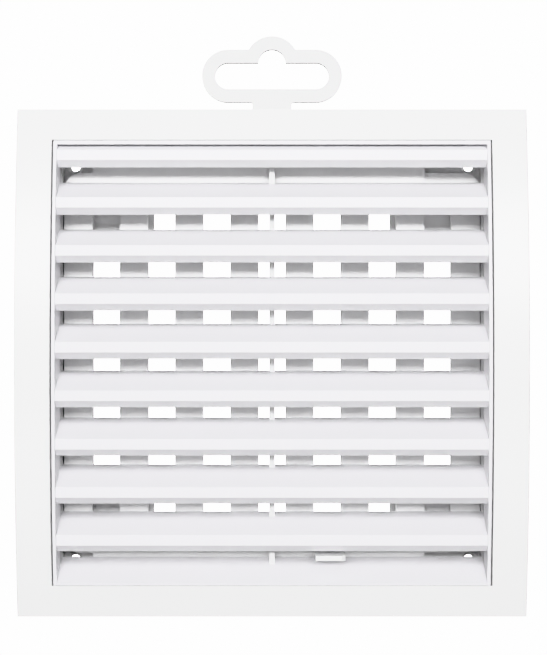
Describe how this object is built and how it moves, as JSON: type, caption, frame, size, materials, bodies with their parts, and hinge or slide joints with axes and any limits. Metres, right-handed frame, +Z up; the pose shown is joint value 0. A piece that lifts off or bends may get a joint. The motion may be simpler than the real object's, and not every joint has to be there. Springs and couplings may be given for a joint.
{
  "type": "louvred air grille",
  "caption": "White plastic wall grille with a bowed square bezel, fixed louvre blades, a sliding shutter with a thumb tab behind them, and a hanging loop on top.",
  "frame": {"origin": "centre of the face on the wall, which is also the centre of the four screw holes", "axes": "+Z up along the wall, +X to the right of somebody who looks at the grille, +Y into the wall, so the bowed face looks along -Y"},
  "size_m": [0.15, 0.0205, 0.1709],
  "materials": {
    "bezel_plastic": "satin white moulded ABS",
    "louvre_plastic": "satin white moulded ABS",
    "shutter_plastic": "fine matt white moulded ABS",
    "base_plastic": "fine matt white moulded ABS"
  },
  "bodies": {
    "base": {"bezel": "bezel_plastic", "hang_tab": "bezel_plastic", "inner_frame": "base_plastic", "rear_plate": "base_plastic", "plate_spacers": "base_plastic", "slotted_plate": "base_plastic", "shutter_guide_top": "base_plastic", "shutter_guide_bottom": "base_plastic"},
    "shutter": {"shutter_plate": "shutter_plastic", "slider_tab": "shutter_plastic"},
    "louvre_insert": {"side_rail_left": "louvre_plastic", "side_rail_right": "louvre_plastic", "top_rail": "louvre_plastic", "bottom_rail": "louvre_plastic", "louvre_blade_01": "louvre_plastic", "louvre_blade_02": "louvre_plastic", "louvre_blade_03": "louvre_plastic", "louvre_blade_04": "louvre_plastic", "louvre_blade_05": "louvre_plastic", "louvre_blade_06": "louvre_plastic", "louvre_blade_07": "louvre_plastic", "louvre_blade_08": "louvre_plastic", "louvre_blade_09": "louvre_plastic", "louvre_blade_10": "louvre_plastic", "mullion": "louvre_plastic", "snap_catches": "louvre_plastic"}
  },
  "joints": [
    {"name": "shutter_slide", "type": "slide", "parent": "base", "child": "shutter", "axis": [1, 0, 0], "range_m": [0, 0.00834]},
    {"name": "insert_pull_off", "type": "slide", "parent": "base", "child": "louvre_insert", "axis": [0, -1, 0], "range_m": [0, 0.03]}
  ]
}
